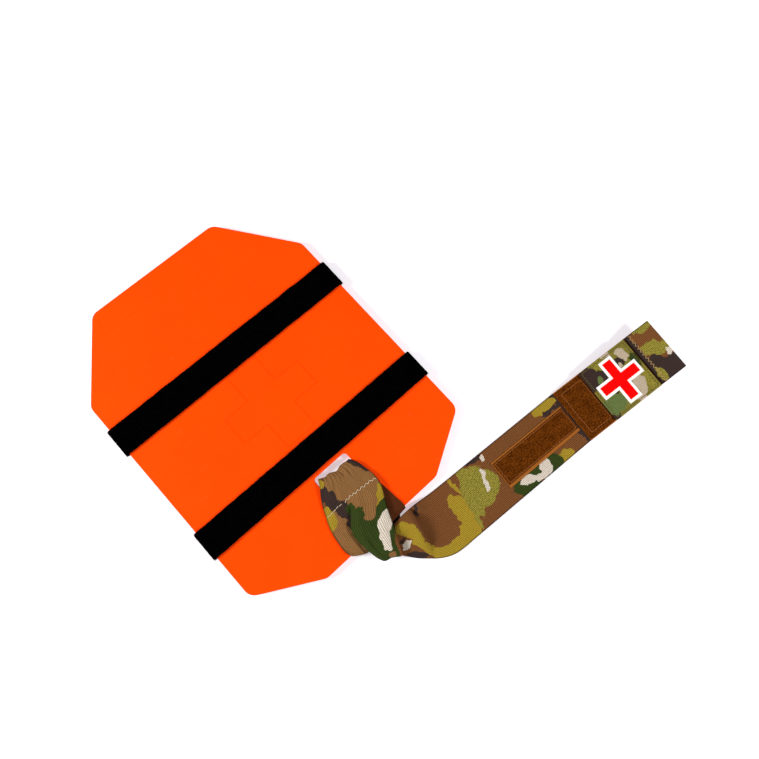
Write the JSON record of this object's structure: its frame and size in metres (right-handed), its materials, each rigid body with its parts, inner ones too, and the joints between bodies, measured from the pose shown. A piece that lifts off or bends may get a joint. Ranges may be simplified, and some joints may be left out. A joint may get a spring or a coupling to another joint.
{
  "type": "pull-out medical panel with elastic strap",
  "caption": "Stiff plastic medical carrier panel held in hook-and-loop bands, with an elastic pull strap choked through its slot that carries a removable cross patch.",
  "frame": {"origin": "centre of the panel's front face", "axes": "+Z out of the panel's front face, +Y towards the end with the long corner cuts, +X towards the side the strap lies on"},
  "size_m": [0.4054, 0.3701, 0.0161],
  "materials": {
    "panel_plastic": "semi-gloss moulded",
    "black_loop_tape": "napped loop pile",
    "black_hook_tape": "moulded hooks",
    "black_thread": "bonded thread",
    "strap_elastic": "woven elastic, camouflage",
    "tan_thread": "bonded thread",
    "brown_hook_tape": "hook tape",
    "brown_loop_tape": "loop pile",
    "patch_cloth": "woven cloth, camouflage",
    "white_cloth": "embroidered",
    "red_cloth": "embroidered"
  },
  "bodies": {
    "panel": {"panel": "panel_plastic", "upper_band": "black_loop_tape", "upper_band_hook_base": "black_hook_tape", "upper_band_stitching": "black_thread", "lower_band": "black_loop_tape", "lower_band_hook_base": "black_hook_tape", "lower_band_stitching": "black_thread", "strap_eye": "strap_elastic", "strap_wrap": "strap_elastic", "eye_stitching": "tan_thread"},
    "upper_hook_tab": {"upper_band_hook_tab": "black_hook_tape"},
    "lower_hook_tab": {"lower_band_hook_tab": "black_hook_tape"},
    "strap_neck": {"strap_neck": "strap_elastic"},
    "strap_middle": {"strap_middle": "strap_elastic", "hook_strip": "brown_hook_tape", "hook_strip_stitching": "tan_thread"},
    "strap_outer": {"strap_outer": "strap_elastic", "loop_field": "brown_loop_tape", "loop_field_stitching": "tan_thread"},
    "patch": {"patch_hook_backing": "black_hook_tape", "patch_face": "patch_cloth", "patch_stitching": "tan_thread", "cross_border": "white_cloth", "cross": "red_cloth"},
    "pull_tab": {"pull_tab": "strap_elastic", "pull_tab_stitching": "tan_thread"}
  },
  "joints": [
    {"name": "upper_hook_tab_peel", "type": "hinge", "parent": "panel", "child": "upper_hook_tab", "pos_m": [0.035, 0.04399, -0.0058], "axis": [-0.0061, -1, 0], "range_deg": [0, 150]},
    {"name": "lower_hook_tab_peel", "type": "hinge", "parent": "panel", "child": "lower_hook_tab", "pos_m": [0.035, -0.06521, -0.0058], "axis": [-0.0061, -1, 0], "range_deg": [0, 150]},
    {"name": "strap_swing", "type": "hinge", "parent": "panel", "child": "strap_neck", "pos_m": [0.002, -0.16, 0], "axis": [0, 0, 1], "range_deg": [-32, 5]},
    {"name": "strap_lift", "type": "hinge", "parent": "strap_neck", "child": "strap_middle", "pos_m": [0.046, -0.1787, -0.0043], "axis": [-0.0701, -0.9975, 0], "range_deg": [-30, 120]},
    {"name": "strap_fold", "type": "hinge", "parent": "strap_middle", "child": "strap_outer", "pos_m": [0.1812, -0.1882, -0.0025], "axis": [-0.0929, -0.9957, 0], "range_deg": [-45, 165]},
    {"name": "patch_peel", "type": "hinge", "parent": "strap_outer", "child": "patch", "pos_m": [0.20932, -0.19082, 0.00238], "axis": [0.0929, 0.9957, 0], "range_deg": [-110, 0]},
    {"name": "pull_tab_fold", "type": "hinge", "parent": "strap_outer", "child": "pull_tab", "pos_m": [0.26487, -0.19601, 0.00633], "axis": [0.0929, 0.9957, 0], "range_deg": [-90, 45]}
  ]
}
